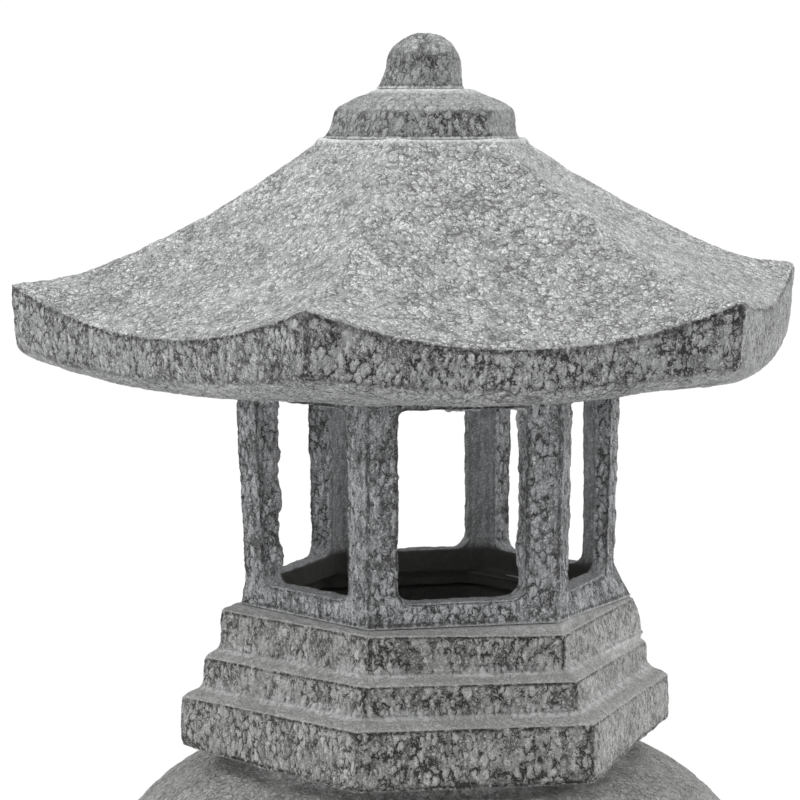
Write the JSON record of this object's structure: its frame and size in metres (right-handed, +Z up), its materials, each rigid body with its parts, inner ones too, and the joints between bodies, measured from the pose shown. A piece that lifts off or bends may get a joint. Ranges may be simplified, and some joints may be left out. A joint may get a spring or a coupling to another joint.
{
  "type": "stone lantern",
  "caption": "Hexagonal garden lantern of stacked rough stones: arched round base, stepped platform, windowed firebox with a tealight, sagging hipped roof, collar and knob finial",
  "frame": {"origin": "centre of the bottom of the lantern's box, on the ground under its vertical axis", "axes": "+Z up the lantern's axis and its longest side, X through two opposite corners of the hexagonal roof, -Y towards the middle of one flat side"},
  "size_m": [0.432, 0.3742, 0.5818],
  "materials": {
    "base_stone": "rough cast, weathered grey, white dry brushing",
    "platform_stone": "rough cast, weathered grey, white dry brushing",
    "firebox_stone": "rough cast, cool grey, streaked",
    "roof_stone": "rough cast, crackled grey, lighter on top",
    "cap_stone": "rough cast, weathered grey",
    "candle_tin": "thin bright sheet",
    "candle_wax": "soft translucent wax",
    "candle_wick": "waxed cotton"
  },
  "bodies": {
    "base": {"base": "base_stone"},
    "platform": {"platform": "platform_stone"},
    "firebox": {"firebox": "firebox_stone"},
    "roof": {"roof": "roof_stone"},
    "roof_collar": {"roof_collar": "cap_stone"},
    "finial_knob": {"finial_knob": "cap_stone"},
    "candle_cup": {"candle_cup": "candle_tin"},
    "candle_wax": {"candle_wax": "candle_wax", "candle_wick": "candle_wick"}
  },
  "joints": [
    {"name": "platform_lift", "type": "slide", "parent": "base", "child": "platform", "axis": [0, 0, 1], "range_m": [0, 0.05]},
    {"name": "firebox_lift", "type": "slide", "parent": "platform", "child": "firebox", "axis": [0, 0, 1], "range_m": [0, 0.05]},
    {"name": "roof_lift", "type": "slide", "parent": "firebox", "child": "roof", "axis": [0, 0, 1], "range_m": [0, 0.1]},
    {"name": "collar_lift", "type": "slide", "parent": "roof", "child": "roof_collar", "axis": [0, 0, 1], "range_m": [0, 0.05]},
    {"name": "knob_lift", "type": "slide", "parent": "roof_collar", "child": "finial_knob", "axis": [0, 0, 1], "range_m": [0, 0.04]},
    {"name": "candle_lift", "type": "slide", "parent": "platform", "child": "candle_cup", "axis": [0, 0, 1], "range_m": [0, 0.08]},
    {"name": "wax_lift", "type": "slide", "parent": "candle_cup", "child": "candle_wax", "axis": [0, 0, 1], "range_m": [0, 0.025]}
  ]
}
